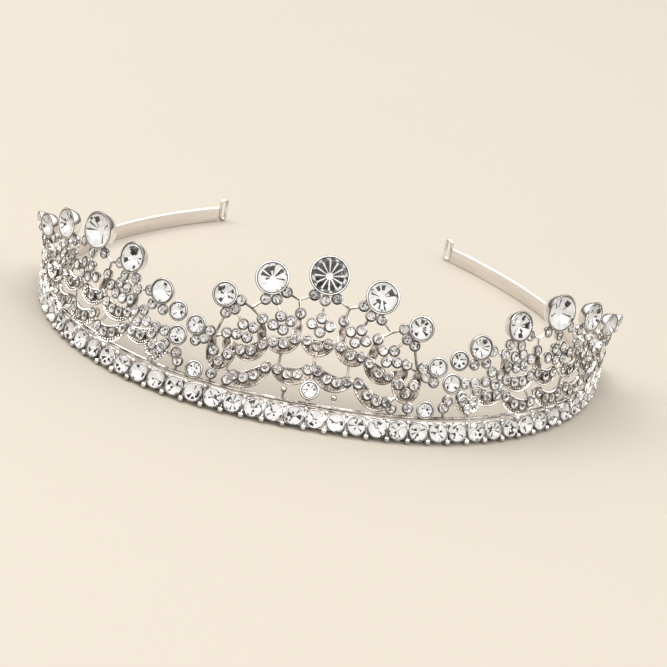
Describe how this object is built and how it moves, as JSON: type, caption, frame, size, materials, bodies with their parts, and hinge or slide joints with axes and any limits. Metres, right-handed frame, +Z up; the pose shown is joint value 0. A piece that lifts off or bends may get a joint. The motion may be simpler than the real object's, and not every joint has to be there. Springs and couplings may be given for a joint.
{
  "type": "bridal tiara",
  "caption": "C-shaped silver headband with a row of round crystals and a leaning, openwork crystal crest, for bridal hair.",
  "frame": {"origin": "front centre of the headband's flat lower edge, which the tiara stands on", "axes": "+X to the right of someone facing the tiara's front (nodes named _right, the wearer's left), -Y the way the wearer faces, +Z up towards the crest's top"},
  "size_m": [0.1482, 0.118, 0.0358],
  "materials": {
    "band_silver": "polished, slightly brushed",
    "cast_silver": "bright polished",
    "crystal": "clear, faceted, foil backed"
  },
  "bodies": {
    "root": {"base_row": "cast_silver", "crest_left": "cast_silver", "crest_main": "cast_silver", "crest_right": "cast_silver", "crystal_c0": "crystal", "crystal_c10_left": "crystal", "crystal_c10_right": "crystal", "crystal_c11_left": "crystal", "crystal_c11_right": "crystal", "crystal_c12_left": "crystal", "crystal_c12_right": "crystal", "crystal_c1_left": "crystal", "crystal_c1_right": "crystal", "crystal_c2_left": "crystal", "crystal_c2_right": "crystal", "crystal_c3_left": "crystal", "crystal_c3_right": "crystal", "crystal_c4_left": "crystal", "crystal_c4_right": "crystal", "crystal_c5_left": "crystal", "crystal_c5_right": "crystal", "crystal_c6_left": "crystal", "crystal_c6_right": "crystal", "crystal_c7_left": "crystal", "crystal_c7_right": "crystal", "crystal_c8_left": "crystal", "crystal_c8_right": "crystal", "crystal_c9_left": "crystal", "crystal_c9_right": "crystal", "crystal_d0": "crystal", "crystal_d2_left": "crystal", "crystal_d2_right": "crystal", "cup_c0": "cast_silver", "cup_c10_left": "cast_silver", "cup_c10_right": "cast_silver", "cup_c11_left": "cast_silver", "cup_c11_right": "cast_silver", "cup_c12_left": "cast_silver", "cup_c12_right": "cast_silver", "cup_c1_left": "cast_silver", "cup_c1_right": "cast_silver", "cup_c2_left": "cast_silver", "cup_c2_right": "cast_silver", "cup_c3_left": "cast_silver", "cup_c3_right": "cast_silver", "cup_c4_left": "cast_silver", "cup_c4_right": "cast_silver", "cup_c5_left": "cast_silver", "cup_c5_right": "cast_silver", "cup_c6_left": "cast_silver", "cup_c6_right": "cast_silver", "cup_c7_left": "cast_silver", "cup_c7_right": "cast_silver", "cup_c8_left": "cast_silver", "cup_c8_right": "cast_silver", "cup_c9_left": "cast_silver", "cup_c9_right": "cast_silver", "end_loop_left": "band_silver", "end_loop_right": "band_silver", "headband": "band_silver"}
  },
  "joints": []
}
